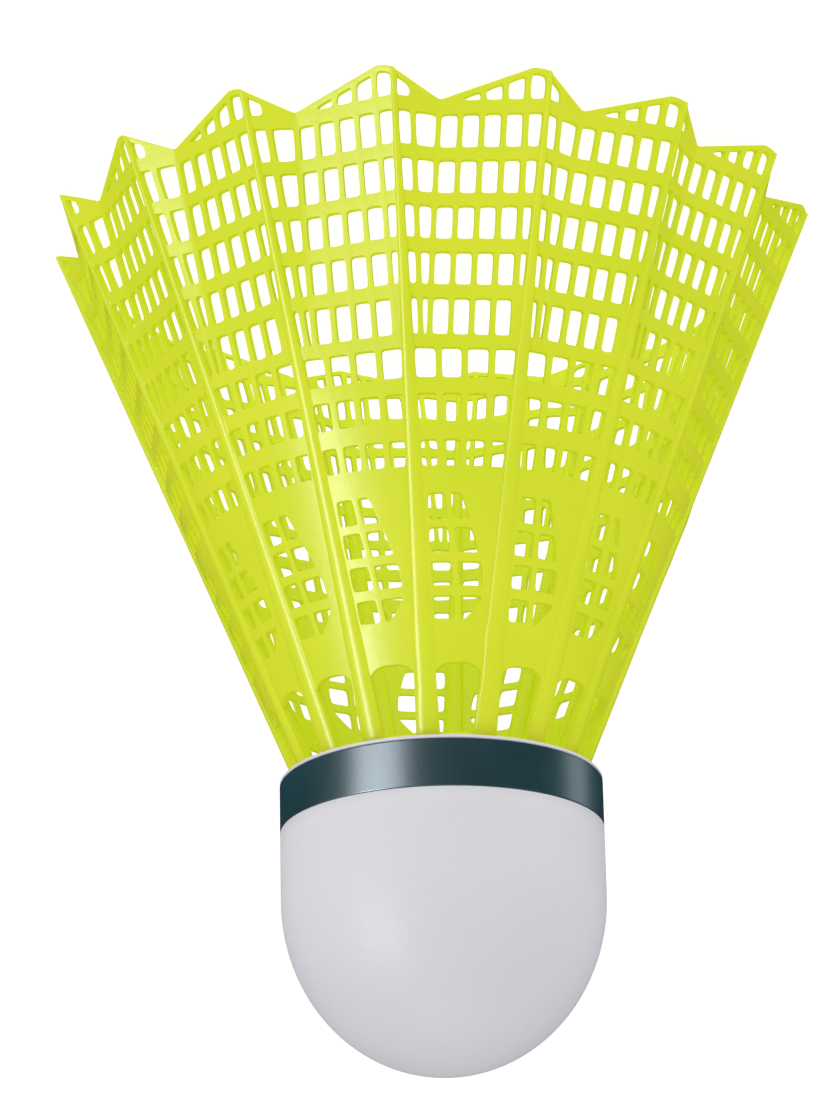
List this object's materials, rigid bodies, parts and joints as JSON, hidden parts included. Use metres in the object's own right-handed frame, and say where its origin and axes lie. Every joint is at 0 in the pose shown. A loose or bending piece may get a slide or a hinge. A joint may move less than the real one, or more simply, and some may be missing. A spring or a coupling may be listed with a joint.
{
  "type": "badminton shuttlecock",
  "caption": "Nylon badminton shuttlecock: a pleated, netted skirt moulded with stiff tapering stems, glued into a domed cork head with a coloured band.",
  "frame": {"origin": "on the shuttlecock's axis, in the plane of the skirt's tips, which is the plane it stands on", "axes": "+Z along the axis from the skirt's mouth to the crown of the head; -Y is the front, the side the picture shows; the picture's right-hand side is -X"},
  "size_m": [0.0664, 0.0664, 0.0754],
  "materials": {
    "nylon": "satin fluorescent yellow-green moulding",
    "skin": "smooth matte white coated skin",
    "band": "glossy dark teal tape",
    "cork": "natural cork"
  },
  "bodies": {
    "root": {"head_core": "cork", "head_skin": "skin", "head_band": "band", "skirt_foot": "nylon", "skirt_vane_01": "nylon", "skirt_vane_02": "nylon", "skirt_vane_03": "nylon", "skirt_vane_04": "nylon", "skirt_vane_05": "nylon", "skirt_vane_06": "nylon", "skirt_vane_07": "nylon", "skirt_vane_08": "nylon", "skirt_vane_09": "nylon", "skirt_vane_10": "nylon", "skirt_vane_11": "nylon", "skirt_vane_12": "nylon", "skirt_vane_13": "nylon", "skirt_vane_14": "nylon", "skirt_vane_15": "nylon", "skirt_vane_16": "nylon"}
  },
  "joints": []
}
